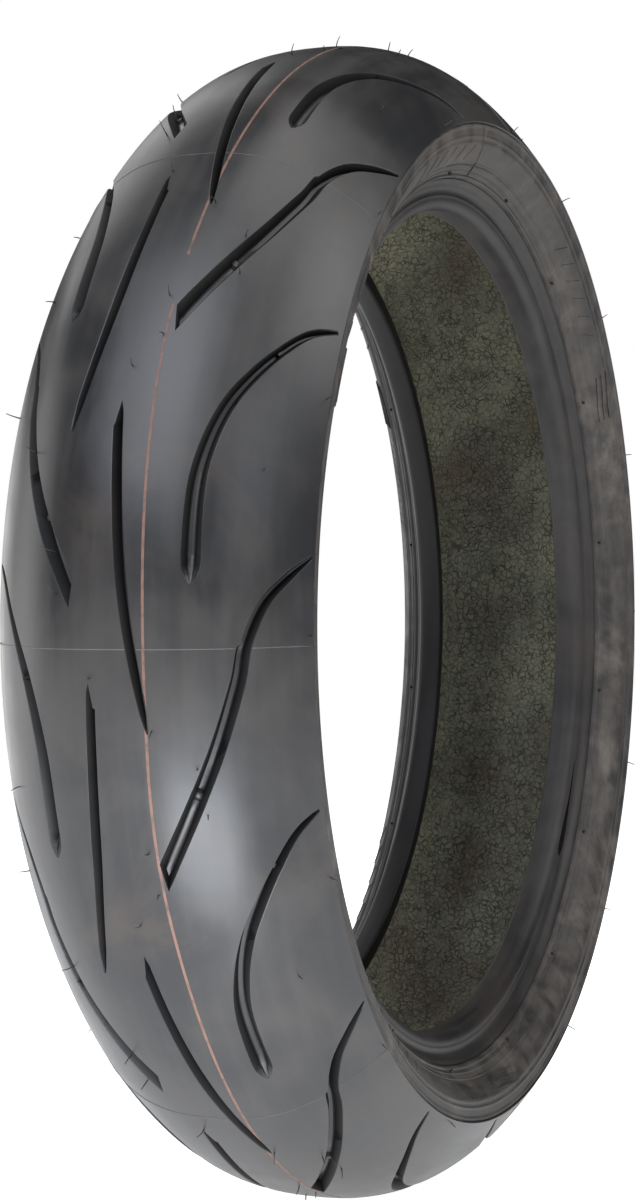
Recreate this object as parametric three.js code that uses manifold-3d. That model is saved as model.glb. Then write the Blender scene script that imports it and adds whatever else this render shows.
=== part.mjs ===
// A radial rear motorcycle tyre, 150/60 R17, as the rings it is built up from on the drum.
// Millimetres. The origin is the middle of the tyre, the wheel axis is Y and Z is up.
// Left (+Y) is the rider's left when the tyre rolls towards +X.
//
// Every ring is a LatheGeometry, whose axis is Y already. A section point is [y, r]: across, radius.
// Layers are measured outwards from the air side along rays, so neighbours never cross.

import * as THREE from "three";
import { mergeVertices } from "three/addons/utils/BufferGeometryUtils.js";
import Module from "manifold-3d";

// ---- Driving dimensions ----------------------------------------------------------------------

const CROWN_RADIUS = 306; // 612 mm overall diameter
const HALF_WIDTH = 77.5; // 155 mm over the tread edges
const SHOULDER_DROP = 44; // crown radius less tread-edge radius
const CROWN_POWER = 2.53; // how late the crown falls away
const FACETS = 24; // flats round every ring
const GAP = 0.3; // clearance between touching rings

// Layer heights above the air side, [bottom, top], in the order they are laid up.
const LINER = [0, 1.2];
const PLY_INNER = [1.5, 2.3];
const PLY_OUTER = [2.6, 3.4];
const BELT_INNER = [3.7, 4.5];
const BELT_OUTER = [4.8, 5.6];
const ZERO_BELT = [5.9, 6.9];
const TREAD_BASE = [7.2, 8.4];
const TREAD_CAP_BOTTOM = 8.7;
const CROWN_GAUGE = 15.2; // air side to tread surface at the crown
const EDGE_GAUGE = 14.4; // the same at the tread edge

const CAP_SPLIT = 48; // where the firm centre compound meets the soft shoulder compound
const BELT_EDGE = 66; // half width of the belts
const CUSHION_EDGE = 71.6; // outer end of the rubber under the belt edges

// Bead: a square wire bundle with its heel corner cut off, and what wraps round it.
const WIRE = { inner: 43.9, outer: 48.7, bottom: 223.7, top: 228.7, chamfer: 1 };
const WRAP = [0.3, 1.0]; // distances outside the bundle
const TURN_UP = [1.3, 2.1];
const CHAFER = [2.4, 3.2];
const CUSHION_INSIDE = 3.5;
const FLANGE_FACE = 54; // half the 4.25 inch rim width
const RIM_LINE = [59.5, 234.3]; // the raised line just above the rim flange

// Tread pattern: four long and four short pitches close the ring.
const LONG_PITCH = 46.9; // degrees
const SHORT_PITCH = 43.1;
const FIRST_LINE = -1.8; // angle of the pattern's zero, up from the front
const PITCHES_OF_EACH = 4;
const GROOVE_DEPTH = 5.2;
const CUT_ABOVE = 4; // how far a groove cutter stands out of the rubber

const RUBBER = {
  treadCentre: { color: 0x35373a, roughness: 0.62 },
  treadShoulder: { color: 0x303235, roughness: 0.66 },
  sidewall: { color: 0x3a3838, roughness: 0.72 },
  bead: { color: 0x2b2b2c, roughness: 0.6 },
  inside: { color: 0x4b473c, roughness: 0.85 },
  hidden: { color: 0x26262a, roughness: 0.8 },
  cord: { color: 0x8d6a45, roughness: 0.9 },
  aramid: { color: 0xb89c45, roughness: 0.85 },
  wire: { color: 0x9a7b52, roughness: 0.35, metalness: 1 },
};

// ---- Section lines ---------------------------------------------------------------------------

// The crown, [y, r], and the unit direction from its surface to the air side.
function crownPoint(y) {
  return [y, CROWN_RADIUS - SHOULDER_DROP * Math.pow(Math.abs(y) / HALF_WIDTH, CROWN_POWER)];
}

function crownInward(y) {
  const fall = (SHOULDER_DROP * CROWN_POWER) / HALF_WIDTH;
  const slope = -fall * Math.pow(Math.abs(y) / HALF_WIDTH, CROWN_POWER - 1) * Math.sign(y);
  const length = Math.hypot(1, slope);
  return [slope / length, -1 / length];
}

// A ray runs from the air side to the outside of the wall.
function crownRay(y, gauge) {
  const outside = crownPoint(y);
  const [dy, dr] = crownInward(y);
  return { inside: [outside[0] + dy * gauge, outside[1] + dr * gauge], outside };
}

function mix(a, b, t) {
  return [a[0] + (b[0] - a[0]) * t, a[1] + (b[1] - a[1]) * t];
}

function rayBetween(a, b, t) {
  return { inside: mix(a.inside, b.inside, t), outside: mix(a.outside, b.outside, t) };
}

// The point at a height above the air side, and the point at a depth below the outside.
function at(ray, height) {
  const gauge = Math.hypot(ray.outside[0] - ray.inside[0], ray.outside[1] - ray.inside[1]);
  return mix(ray.inside, ray.outside, height / gauge);
}

// Rays of the left half. The crown is a few straight chords, so thin layers keep their gaps.
const middle = crownRay(0, CROWN_GAUGE);
const quarter = crownRay(30, CROWN_GAUGE);
const threeQuarter = crownRay(55, CROWN_GAUGE);
const edge = crownRay(HALF_WIDTH, EDGE_GAUGE);
const upperWall = { inside: [64.8, 250.6], outside: [75.4, 252.8] };
const midWall = { inside: [59.6, 245.6], outside: [68.6, 242.4] };
const rimLine = { inside: [51.0, 239.3], outside: RIM_LINE };
const beadTop = { inside: [40.3, 228.5], outside: [FLANGE_FACE, 228.5] };
const lowerWall = rayBetween(midWall, rimLine, 0.5);

function crownAcross(y) {
  if (y <= 30) return rayBetween(middle, quarter, y / 30);
  if (y <= 55) return rayBetween(quarter, threeQuarter, (y - 30) / 25);
  return rayBetween(threeQuarter, edge, (y - 55) / (HALF_WIDTH - 55));
}

function mirrored(points) {
  return points.map(([y, r]) => [-y, r]).reverse();
}

// A closed band through rays of the left half, from the middle outwards, and its mirror image.
function bandAcross(rays, [bottom, top]) {
  const outer = rays.map((ray) => at(ray, top));
  const inner = rays.map((ray) => at(ray, bottom));
  const whole = (half) => [...mirrored(half.slice(1)), ...half];
  return [...whole(outer), ...whole(inner).reverse()];
}

// ---- Rings -----------------------------------------------------------------------------------

// Twice the area of a closed outline, positive when it runs anticlockwise in (y, r).
function turning(section) {
  return section.reduce((sum, [y, r], i) => {
    const [yn, rn] = section[(i + 1) % section.length];
    return sum + y * rn - yn * r;
  }, 0);
}

function ring(section) {
  const ordered = turning(section) > 0 ? [...section].reverse() : section;
  const outline = ordered.map(([y, r]) => new THREE.Vector2(r, y));
  outline.push(outline[0].clone());
  return new THREE.LatheGeometry(outline, FACETS);
}

function treadCentre() {
  const surface = [0, 18, 34, CAP_SPLIT].map(crownPoint);
  const under = [0, 30, CAP_SPLIT].map((y) => at(crownAcross(y), TREAD_CAP_BOTTOM));
  return ring([...mirrored(surface.slice(1)), ...surface, ...under.reverse(), ...mirrored(under).slice(1)]);
}

function treadShoulder() {
  const start = CAP_SPLIT + GAP * 1.5;
  const surface = [start, 58, 68, HALF_WIDTH].map(crownPoint);
  const under = [start, 55, HALF_WIDTH].map((y) => at(crownAcross(y), TREAD_CAP_BOTTOM));
  return ring([...surface, ...under.reverse()]);
}

function treadBase() {
  return ring(bandAcross([middle, quarter, threeQuarter, edge], TREAD_BASE));
}

function belt(layer) {
  return ring(bandAcross([middle, quarter, threeQuarter, crownAcross(BELT_EDGE)], layer));
}

function beltEdgeCushion() {
  const near = crownAcross(BELT_EDGE + 2 * GAP);
  const far = crownAcross(CUSHION_EDGE);
  const [low, high] = [BELT_INNER[0], ZERO_BELT[1]];
  return ring([at(near, low), at(near, high), at(far, high), at(far, low)]);
}

// The outer ply is cut off beside the tips of the bead fillers.
function carcassPlyOuter() {
  const rays = [middle, quarter, threeQuarter, edge, upperWall, midWall, rimLine];
  return ring(bandAcross(rays, PLY_OUTER));
}

// A line under the bundle at a distance, from the air side to the rim side, heel corner cut off.
function underBead(distance, airTop, rimTop) {
  const [y0, y1] = [WIRE.inner - distance, WIRE.outer + distance];
  const bottom = WIRE.bottom - distance;
  const cut = WIRE.chamfer + (2 - Math.SQRT2) * distance;
  return [
    [y0, airTop],
    [y0, bottom],
    [y1 - cut, bottom],
    [y1, bottom + cut],
    [y1, rimTop],
  ];
}

// The inner ply passes under each bundle and turns back up the rim side of the filler.
function carcassPlyInner() {
  const rays = [middle, quarter, threeQuarter, edge, upperWall, midWall, rimLine];
  const [low, high] = PLY_INNER;
  const turnUpTop = 229;
  const airSide = [...rays.map((ray) => at(ray, low)), ...underBead(TURN_UP[1], beadTop.inside[1], turnUpTop)];
  const farSide = [...rays.map((ray) => at(ray, high)), ...underBead(TURN_UP[0], beadTop.inside[1], turnUpTop)];
  const turnedUp = [rimLine, lowerWall];
  const outerLine = [...airSide, ...turnedUp.map((ray) => at(ray, 4.5))];
  const innerLine = [...farSide, ...turnedUp.map((ray) => at(ray, 3.7))];
  const whole = (half) => [...mirrored(half.slice(1)), ...half];
  return ring([...whole(outerLine), ...whole(innerLine).reverse()]);
}

function innerLiner() {
  const rays = [middle, quarter, threeQuarter, edge, upperWall, midWall, rimLine, beadTop];
  const [low, high] = LINER;
  const foot = 226.6; // the rim cushion starts below this
  const cavity = [...rays.map((ray) => at(ray, low)), [beadTop.inside[0], foot]];
  const back = [...rays.map((ray) => at(ray, high)), [beadTop.inside[0] + high, foot]];
  const whole = (half) => [...mirrored(half.slice(1)), ...half];
  return ring([...whole(back), ...whole(cavity).reverse()]);
}

function beadWire() {
  const { inner, outer, bottom, top, chamfer } = WIRE;
  return ring([
    [inner, top],
    [inner, bottom],
    [outer - chamfer, bottom],
    [outer, bottom + chamfer],
    [outer, top],
  ]);
}

function underBeadStrip([near, far], airTop, rimTop) {
  return ring([...underBead(far, airTop, rimTop), ...underBead(near, airTop, rimTop).reverse()]);
}

function beadWrap() {
  const top = WIRE.top - GAP;
  return underBeadStrip(WRAP, top, top);
}

// A hard wedge that stands on the bundle between the ply and its turn-up.
function beadFiller() {
  return ring([
    [43.6, 229.3],
    [49.6, 229.3],
    [52.9, 235.7],
    [51.3, 235.9],
  ]);
}

function chafer() {
  return underBeadStrip(CHAFER, 226.3, 228.8);
}

// The abrasion rubber that grips the rim: flange face, heel, 5 degree seat and toe.
function rimCushion() {
  const outside = [
    [59.22, 234.05],
    [FLANGE_FACE, 229.5],
    [FLANGE_FACE, 223.9],
    [52.6, 220.4],
    [49.5, 218.5],
    [39.4, 217.6],
    [38.4, 219.2],
    [39.3, 226.3],
  ];
  const inside = underBead(CUSHION_INSIDE, 226.3, 229.6);
  return ring([...outside, ...inside, [55.05, 236.4]]);
}

// Flexing rubber from the rim line up to a thin wing under the tread edge.
function sidewall() {
  const crest = rayBetween(edge, upperWall, 0.04);
  const walls = [upperWall, midWall, lowerWall, rimLine];
  const outside = [crest, ...walls].map((ray) => ray.outside);
  const inside = [
    at(rimLine, 4.8),
    at(lowerWall, 4.8),
    at(midWall, BELT_INNER[0]),
    at(upperWall, BELT_INNER[0]),
    at(edge, BELT_INNER[0]),
  ];
  const wing = crownAcross(CUSHION_EDGE + 2 * GAP);
  return ring([...outside, ...inside, at(wing, BELT_INNER[0]), at(wing, ZERO_BELT[1]), at(crest, ZERO_BELT[1])]);
}

// ---- Tread grooves ---------------------------------------------------------------------------

// Paths are [pitch, y]: how far round in pitches, and how far across. The right half repeats the
// left half's two long grooves half a pitch on. Widths are half widths at the start, middle and end.
const LONG_S = {
  path: [[-0.405, 17.6], [-0.294, 32.8], [-0.183, 45], [-0.068, 53.4], [0.006, 56.4], [0.081, 62.4], [0.132, 69.6], [0.17, 75]],
  halfWidth: [4.0, 3.3, 1.5],
};
const SHORT_C = {
  path: [[0.655, 73.5], [0.631, 68.3], [0.571, 60.3], [0.512, 53], [0.443, 45.4], [0.362, 39.7], [0.273, 36.7], [0.113, 36.6]],
  halfWidth: [1.5, 2.9, 4.1],
};
const SLASH_LEFT = {
  path: [[0.414, -1], [0.275, 2.5], [0.147, 6.1], [0.041, 9.9], [-0.045, 13.7], [-0.145, 17.9]],
  halfWidth: [1.6, 2.4, 0.8],
};
const SLASH_RIGHT = {
  path: [[0.923, -8.1], [0.795, -9.6], [0.657, -12.5], [0.55, -16.1], [0.384, -23.9]],
  halfWidth: [1.7, 2.3, 0.8],
};
const GROOVE_STEPS = { long: 6, slash: 3 };

// The angle of a place on the pattern, in radians.
function pitchAngle(pitch) {
  const count = 2 * PITCHES_OF_EACH;
  const half = PITCHES_OF_EACH / 2;
  const turned = ((((pitch + half) % count) + count) % count) - half;
  const long = Math.min(turned, half) * LONG_PITCH;
  const short = Math.max(turned - half, 0) * SHORT_PITCH;
  return THREE.MathUtils.degToRad(FIRST_LINE + long + short);
}

// A place on the crown, or off it along the outward normal.
function onCrown(pitch, y, lift) {
  const angle = pitchAngle(pitch);
  const [across, radius] = crownPoint(y);
  const [dy, dr] = crownInward(y);
  const r = radius - dr * lift;
  return new THREE.Vector3(r * Math.cos(angle), across - dy * lift, r * Math.sin(angle));
}

// A box bent along a groove's path: its length follows the path and its height the normal.
function grooveCutter({ path, halfWidth }, side, shift, steps) {
  const curve = new THREE.SplineCurve(path.map(([pitch, y]) => new THREE.Vector2(pitch + shift, side * y)));
  const box = new THREE.BoxGeometry(1, 1, 1, steps, 1, 1);
  const position = box.getAttribute("position");
  const [start, middleWidth, end] = halfWidth;
  for (let i = 0; i < position.count; i++) {
    const t = THREE.MathUtils.clamp(position.getX(i) + 0.5, 0, 1);
    const here = curve.getPoint(t);
    const ahead = curve.getPoint(Math.min(t + 0.01, 1));
    const behind = curve.getPoint(Math.max(t - 0.01, 0));
    const foot = onCrown(here.x, here.y, -GROOVE_DEPTH);
    const normal = onCrown(here.x, here.y, CUT_ABOVE).sub(foot).normalize();
    const along = onCrown(ahead.x, ahead.y, 0).sub(onCrown(behind.x, behind.y, 0));
    const across = normal.clone().cross(along).normalize();
    const width = t < 0.5
      ? THREE.MathUtils.lerp(start, middleWidth, t * 2)
      : THREE.MathUtils.lerp(middleWidth, end, t * 2 - 1);
    const lift = position.getZ(i) > 0 ? GROOVE_DEPTH + CUT_ABOVE : 0;
    foot.addScaledVector(normal, lift).addScaledVector(across, Math.sign(position.getY(i)) * width);
    position.setXYZ(i, foot.x, foot.y, foot.z);
  }
  return box;
}

// ---- Cutting ---------------------------------------------------------------------------------

const wasm = await Module();
wasm.setup();

function toSolid(geometry) {
  const bare = geometry.clone();
  bare.deleteAttribute("normal");
  bare.deleteAttribute("uv");
  const merged = mergeVertices(bare, 1e-3);
  const vertProperties = new Float32Array(merged.getAttribute("position").array);
  const triVerts = new Uint32Array(merged.index.array);
  const solid = new wasm.Manifold(new wasm.Mesh({ numProp: 3, vertProperties, triVerts }));
  if (solid.volume() > 0) return solid;
  for (let i = 0; i < triVerts.length; i += 3) {
    [triVerts[i + 1], triVerts[i + 2]] = [triVerts[i + 2], triVerts[i + 1]];
  }
  return new wasm.Manifold(new wasm.Mesh({ numProp: 3, vertProperties, triVerts }));
}

function toGeometry(solid) {
  const mesh = solid.getMesh();
  const geometry = new THREE.BufferGeometry();
  geometry.setAttribute("position", new THREE.BufferAttribute(new Float32Array(mesh.vertProperties), 3));
  geometry.setIndex(new THREE.BufferAttribute(new Uint32Array(mesh.triVerts), 1));
  geometry.computeVertexNormals();
  return geometry;
}

// Every groove of the pattern, as solids to take away.
function grooveSolids() {
  const cutters = [];
  for (let pitch = 0; pitch < 2 * PITCHES_OF_EACH; pitch++) {
    for (const groove of [LONG_S, SHORT_C]) {
      cutters.push(grooveCutter(groove, 1, pitch, GROOVE_STEPS.long));
      cutters.push(grooveCutter(groove, -1, pitch + 0.5, GROOVE_STEPS.long));
    }
    cutters.push(grooveCutter(SLASH_LEFT, 1, pitch, GROOVE_STEPS.slash));
    cutters.push(grooveCutter(SLASH_RIGHT, 1, pitch, GROOVE_STEPS.slash));
  }
  return cutters.map(toSolid);
}

const grooves = grooveSolids();

function grooved(geometry) {
  const cut = grooves.reduce((solid, groove) => solid.subtract(groove), toSolid(geometry));
  return toGeometry(cut);
}

// ---- The assembly ----------------------------------------------------------------------------

const tyre = new THREE.Group();

function addRing(name, geometry, look) {
  const mesh = new THREE.Mesh(geometry, new THREE.MeshStandardMaterial({ metalness: 0, ...look }));
  mesh.name = name;
  tyre.add(mesh);
}

// Both sides of a piece made for the left. The right one is turned half a turn about Z.
function addPair(name, make, look) {
  addRing(`${name}_left`, make(), look);
  addRing(`${name}_right`, make().rotateZ(Math.PI), look);
}

addRing("tread_centre", grooved(treadCentre()), RUBBER.treadCentre);
addRing("tread_shoulder_left", grooved(treadShoulder()), RUBBER.treadShoulder);
addRing("tread_shoulder_right", grooved(treadShoulder().rotateZ(Math.PI)), RUBBER.treadShoulder);
addRing("tread_base", treadBase(), RUBBER.hidden);
addRing("zero_degree_belt", belt(ZERO_BELT), RUBBER.aramid);
addRing("crossed_belt_outer", belt(BELT_OUTER), RUBBER.aramid);
addRing("crossed_belt_inner", belt(BELT_INNER), RUBBER.aramid);
addPair("belt_edge_cushion", beltEdgeCushion, RUBBER.hidden);
addRing("carcass_ply_outer", carcassPlyOuter(), RUBBER.cord);
addRing("carcass_ply_inner", carcassPlyInner(), RUBBER.cord);
addRing("inner_liner", innerLiner(), RUBBER.inside);
addPair("sidewall", sidewall, RUBBER.sidewall);
addPair("bead_wire", beadWire, RUBBER.wire);
addPair("bead_wrap", beadWrap, RUBBER.cord);
addPair("bead_filler", beadFiller, RUBBER.hidden);
addPair("chafer", chafer, RUBBER.cord);
addPair("rim_cushion", rimCushion, RUBBER.bead);

export default tyre;
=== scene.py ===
"""A radial rear motorcycle tyre, 150/60 R17, finished for looking at.

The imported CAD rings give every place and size. Each ring is turned again here, fine and round,
and the ones that show get the moulded detail of a new tyre: lipped grooves, mould flash, vent
hairs, ribs, a raised rim line and the pressed pattern of the air side.

Sizes are millimetres up to the moment a point is placed, and metres after it. The wheel axle is Y,
+X is forward and Z is up. A section point is (y, r): across the tyre, and out from the axle.
"""

import logging
import math
import random
from collections.abc import Callable, Sequence
from dataclasses import dataclass, field, replace
from enum import Enum

import bmesh
import bpy
from bmesh.types import BMesh, BMVert
from bpy.types import Material, Node, NodeSocket, NodeTree, Object
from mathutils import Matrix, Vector

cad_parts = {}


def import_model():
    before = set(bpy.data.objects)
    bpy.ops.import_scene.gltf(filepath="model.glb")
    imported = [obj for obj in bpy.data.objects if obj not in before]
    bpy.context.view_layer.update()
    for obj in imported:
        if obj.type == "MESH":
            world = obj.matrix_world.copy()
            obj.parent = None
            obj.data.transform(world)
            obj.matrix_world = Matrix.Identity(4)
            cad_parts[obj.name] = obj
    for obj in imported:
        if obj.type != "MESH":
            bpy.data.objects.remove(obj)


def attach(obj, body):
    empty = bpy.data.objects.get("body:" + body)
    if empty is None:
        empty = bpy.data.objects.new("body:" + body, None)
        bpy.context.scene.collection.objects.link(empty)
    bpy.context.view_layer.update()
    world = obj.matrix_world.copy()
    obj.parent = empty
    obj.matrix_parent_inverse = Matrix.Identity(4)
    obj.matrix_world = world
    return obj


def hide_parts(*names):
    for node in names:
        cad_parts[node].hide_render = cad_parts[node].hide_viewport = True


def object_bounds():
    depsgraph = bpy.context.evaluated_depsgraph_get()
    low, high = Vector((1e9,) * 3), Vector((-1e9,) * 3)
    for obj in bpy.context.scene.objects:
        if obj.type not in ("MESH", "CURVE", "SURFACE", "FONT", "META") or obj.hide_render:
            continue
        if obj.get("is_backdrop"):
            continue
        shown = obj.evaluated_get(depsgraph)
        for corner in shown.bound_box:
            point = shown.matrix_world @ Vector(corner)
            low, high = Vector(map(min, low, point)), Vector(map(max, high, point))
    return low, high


LOG = logging.getLogger("tyre")
MM = 0.001
WELD = 1e-6  # metres within which two corners are one
CAD_WELD = 2e-5  # the same for a CAD mesh, whose corners are rounded off
SectionPoint = tuple[float, float]

# ---- Small tools -----------------------------------------------------------------------------


class Side(Enum):
    """The two sides of the tyre, as the sign of Y."""

    LEFT = 1
    RIGHT = -1

    @property
    def word(self) -> str:
        """The side as it is written at the end of a name."""
        return self.name.lower()


def between(table: Sequence[tuple[float, float]], at: float) -> float:
    """Reads a value off a table by straight lines between its entries.

    Args:
        table: (place, value) pairs in rising order of place.
        at: The place to read.

    Returns:
        The value there, held level past either end.
    """
    if at <= table[0][0]:
        return table[0][1]
    for (left, low), (right, high) in zip(table, table[1:]):
        if at <= right:
            return low + (high - low) * (at - left) / (right - left)
    return table[-1][1]


def smooth_curve(points: Sequence[SectionPoint], share: float) -> SectionPoint:
    """Follows a smooth curve that passes through every point.

    Args:
        points: The points to pass through, evenly spaced in share.
        share: How far along, from 0 to 1.

    Returns:
        The place on the curve.
    """
    last = len(points) - 1
    place = min(max(share, 0.0), 1.0) * last
    step = min(int(place), last - 1)
    t = place - step
    a, b, c, d = (points[min(max(step + i, 0), last)] for i in (-1, 0, 1, 2))

    def blend(p: float, q: float, r: float, s: float) -> float:
        """One coordinate of the curve."""
        bend = (2 * p - 5 * q + 4 * r - s) * t * t + (3 * q - p - 3 * r + s) * t**3
        return 0.5 * (2 * q + (r - p) * t + bend)

    return blend(a[0], b[0], c[0], d[0]), blend(a[1], b[1], c[1], d[1])


def make_object(name: str, bm: BMesh) -> Object:
    """Turns a finished bmesh into an object of the scene, smooth and facing outwards.

    Args:
        name: The piece's name.
        bm: The mesh, which is freed.

    Returns:
        The new object, at the origin.
    """
    mesh = bpy.data.meshes.new(name)
    bmesh.ops.recalc_face_normals(bm, faces=bm.faces)
    for face in bm.faces:
        face.smooth = True
    bm.to_mesh(mesh)
    bm.free()
    piece = bpy.data.objects.new(name, mesh)
    bpy.context.scene.collection.objects.link(piece)
    return piece


def sharpen(piece: Object, degrees: float) -> None:
    """Marks the edges that turn by more than an angle as sharp."""
    piece.data.set_sharp_from_angle(angle=math.radians(degrees))


def turn_ring(bm: BMesh, steps: int) -> None:
    """Spins the outline that a bmesh holds into a closed ring round the axle."""
    bmesh.ops.spin(
        bm, geom=bm.verts[:] + bm.edges[:], cent=(0, 0, 0), axis=(0, 1, 0),
        angle=math.tau, steps=steps, use_merge=True, use_normal_flip=False,
    )
    bmesh.ops.remove_doubles(bm, verts=bm.verts, dist=WELD)


def draw_outline(bm: BMesh, section: Sequence[SectionPoint]) -> None:
    """Draws a closed section upright above the axle."""
    verts = [bm.verts.new((0, y * MM, r * MM)) for y, r in section]
    for here, there in zip(verts, verts[1:] + verts[:1]):
        bm.edges.new((here, there))


def round_corners(bm: BMesh, radius: float, segments: int) -> None:
    """Rounds every corner of the outline that a bmesh holds.

    Args:
        bm: A closed outline of edges.
        radius: How far back from a corner the rounding starts, in millimetres.
        segments: The number of steps in each rounding.
    """
    bmesh.ops.contextual_create(bm, geom=bm.edges)
    bmesh.ops.bevel(
        bm, geom=bm.verts[:], affect="VERTICES", offset=radius * MM, offset_type="OFFSET",
        segments=segments, profile=0.5, material=-1, clamp_overlap=True,
    )
    bmesh.ops.delete(bm, geom=bm.faces[:], context="FACES_ONLY")


def ring_of(name: str, section: Sequence[SectionPoint], steps: int) -> Object:
    """Makes a ring from a closed section.

    Args:
        name: The piece's name.
        section: The outline, in millimetres.
        steps: Flats round the ring.

    Returns:
        The ring.
    """
    bm = bmesh.new()
    draw_outline(bm, section)
    turn_ring(bm, steps)
    return make_object(name, bm)


def cad_outline(node: str) -> BMesh:
    """Cuts a CAD ring where it stands upright above the axle.

    Args:
        node: The CAD node, whose own mesh is left alone.

    Returns:
        A bmesh that holds only the closed outline of the cut.
    """
    bm = bmesh.new()
    bm.from_mesh(bpy.data.objects[node].data)
    bmesh.ops.remove_doubles(bm, verts=bm.verts, dist=CAD_WELD)
    bmesh.ops.bisect_plane(
        bm, geom=bm.verts[:] + bm.edges[:] + bm.faces[:], dist=WELD,
        plane_co=(0, 0, 0), plane_no=(1, 0, 0), clear_inner=True, clear_outer=True,
    )
    bmesh.ops.delete(bm, geom=[v for v in bm.verts if v.co.z < 0], context="VERTS")
    bmesh.ops.delete(bm, geom=bm.faces[:], context="FACES_ONLY")
    for vert in bm.verts:
        vert.co.x = 0
    bmesh.ops.remove_doubles(bm, verts=bm.verts, dist=CAD_WELD)
    return bm


def add_bent_bar(
    bm: BMesh, sides: int, cuts: int, move: Callable[[Vector], Vector]
) -> None:
    """Adds a straight bar with closed ends to a bmesh, and moves each of its points.

    Args:
        bm: Where the bar is added.
        sides: The number of its sides, the first corner lying towards +X.
        cuts: Sections added along it.
        move: Takes a point of the bar to its place. The bar's radius is 1 and it runs from -1
            to 1 in Z.
    """
    bar = bmesh.new()
    bmesh.ops.create_cone(
        bar, cap_ends=True, cap_tris=False, segments=sides, radius1=1, radius2=1, depth=2
    )
    rails = [e for e in bar.edges if abs(e.verts[0].co.z - e.verts[1].co.z) > 1]
    bmesh.ops.subdivide_edges(bar, edges=rails, cuts=cuts, use_grid_fill=True)
    for vert in bar.verts:
        vert.co = move(vert.co)
    scratch = bpy.data.meshes.new("bar")
    bar.to_mesh(scratch)
    bar.free()
    bm.from_mesh(scratch)
    bpy.data.meshes.remove(scratch)


def carve(piece: Object, cutter: Object) -> None:
    """Takes a cutter out of a piece for good, and leaves the piece with no modifier.

    Args:
        piece: The piece to cut.
        cutter: A closed solid, or several that are clear of each other.
    """
    cut = piece.modifiers.new("carve", "BOOLEAN")
    cut.operation = "DIFFERENCE"
    cut.solver = "MANIFOLD"
    cut.object = cutter
    bpy.context.view_layer.update()
    finished = piece.evaluated_get(bpy.context.evaluated_depsgraph_get())
    mesh = bpy.data.meshes.new_from_object(finished)
    piece.modifiers.clear()
    piece.data = mesh
    mesh.name = piece.name


def fit_piece(piece: Object, material: Material, slot: str, *nodes: str) -> None:
    """Gives a piece its material and fixes it to the tyre's one body.

    Args:
        piece: The finished piece.
        material: What it is made of.
        slot: The record's material slot. Not used.
        nodes: The CAD nodes that it stands for, if any.
    """
    piece.data.materials.clear()
    piece.data.materials.append(material)
    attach(piece, "root")
    if nodes:
        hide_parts(*nodes)
    LOG.info("%s: %d faces", piece.name, len(piece.data.polygons))


# ---- The tread's surface and pattern ---------------------------------------------------------


@dataclass(frozen=True)
class Crown:
    """The outside of the tread: a curve that falls away faster towards its edges."""

    radius: float = 306.0
    half_width: float = 77.5
    drop: float = 44.0
    power: float = 2.53

    def height(self, y: float) -> float:
        """The radius at a distance across."""
        return self.radius - self.drop * (abs(y) / self.half_width) ** self.power

    def outward(self, y: float) -> SectionPoint:
        """The unit direction out of the surface, across and out from the axle."""
        fall = self.drop * self.power / self.half_width
        slope = fall * (abs(y) / self.half_width) ** (self.power - 1)
        length = math.hypot(1.0, slope)
        return math.copysign(slope, y) / length, 1.0 / length

    def place(self, angle: float, y: float, lift: float = 0.0) -> Vector:
        """A point on the surface, or off it along its normal.

        Args:
            angle: Radians up from the front.
            y: Millimetres across.
            lift: Millimetres out of the surface.

        Returns:
            The point, in metres.
        """
        across, out = self.outward(y)
        r = (self.height(y) + out * lift) * MM
        return Vector((r * math.cos(angle), (y + across * lift) * MM, r * math.sin(angle)))

    def normal(self, point: Vector) -> Vector:
        """The surface's normal at the place nearest a point."""
        across, out = self.outward(point.y / MM)
        r = math.hypot(point.x, point.z)
        return Vector((out * point.x / r, across, out * point.z / r))


@dataclass(frozen=True)
class PitchSequence:
    """How the tread pattern repeats: long pitches over the front half, short ones behind."""

    long: float = 46.9
    short: float = 43.1
    of_each: int = 4
    first_line: float = -1.8

    @property
    def count(self) -> int:
        """The number of pitches in the ring."""
        return 2 * self.of_each

    def angle(self, pitch: float) -> float:
        """The angle of a place in the pattern, in radians up from the front."""
        half = self.of_each / 2
        turned = (pitch + half) % self.count - half
        long = min(turned, half) * self.long
        short = max(turned - half, 0.0) * self.short
        return math.radians(self.first_line + long + short)


CROWN = Crown()
PITCHES = PitchSequence()


@dataclass(frozen=True)
class Station:
    """A groove's section part of the way along: how far, half widths either side, and depth."""

    share: float
    near: float
    far: float
    depth: float


@dataclass(frozen=True)
class Groove:
    """One groove of the pattern, as a path of (pitch, y) and the sections along it.

    The near wall is the one on the path's left as the path is followed on the left half.
    """

    path: tuple[SectionPoint, ...]
    stations: tuple[Station, ...]
    slanted_start: bool = False

    def section(self, share: float) -> Station:
        """The section at a share of the length, between the ones that are given."""
        near = between([(s.share, s.near) for s in self.stations], share)
        far = between([(s.share, s.far) for s in self.stations], share)
        depth = between([(s.share, s.depth) for s in self.stations], share)
        return Station(share, near, far, depth)


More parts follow.
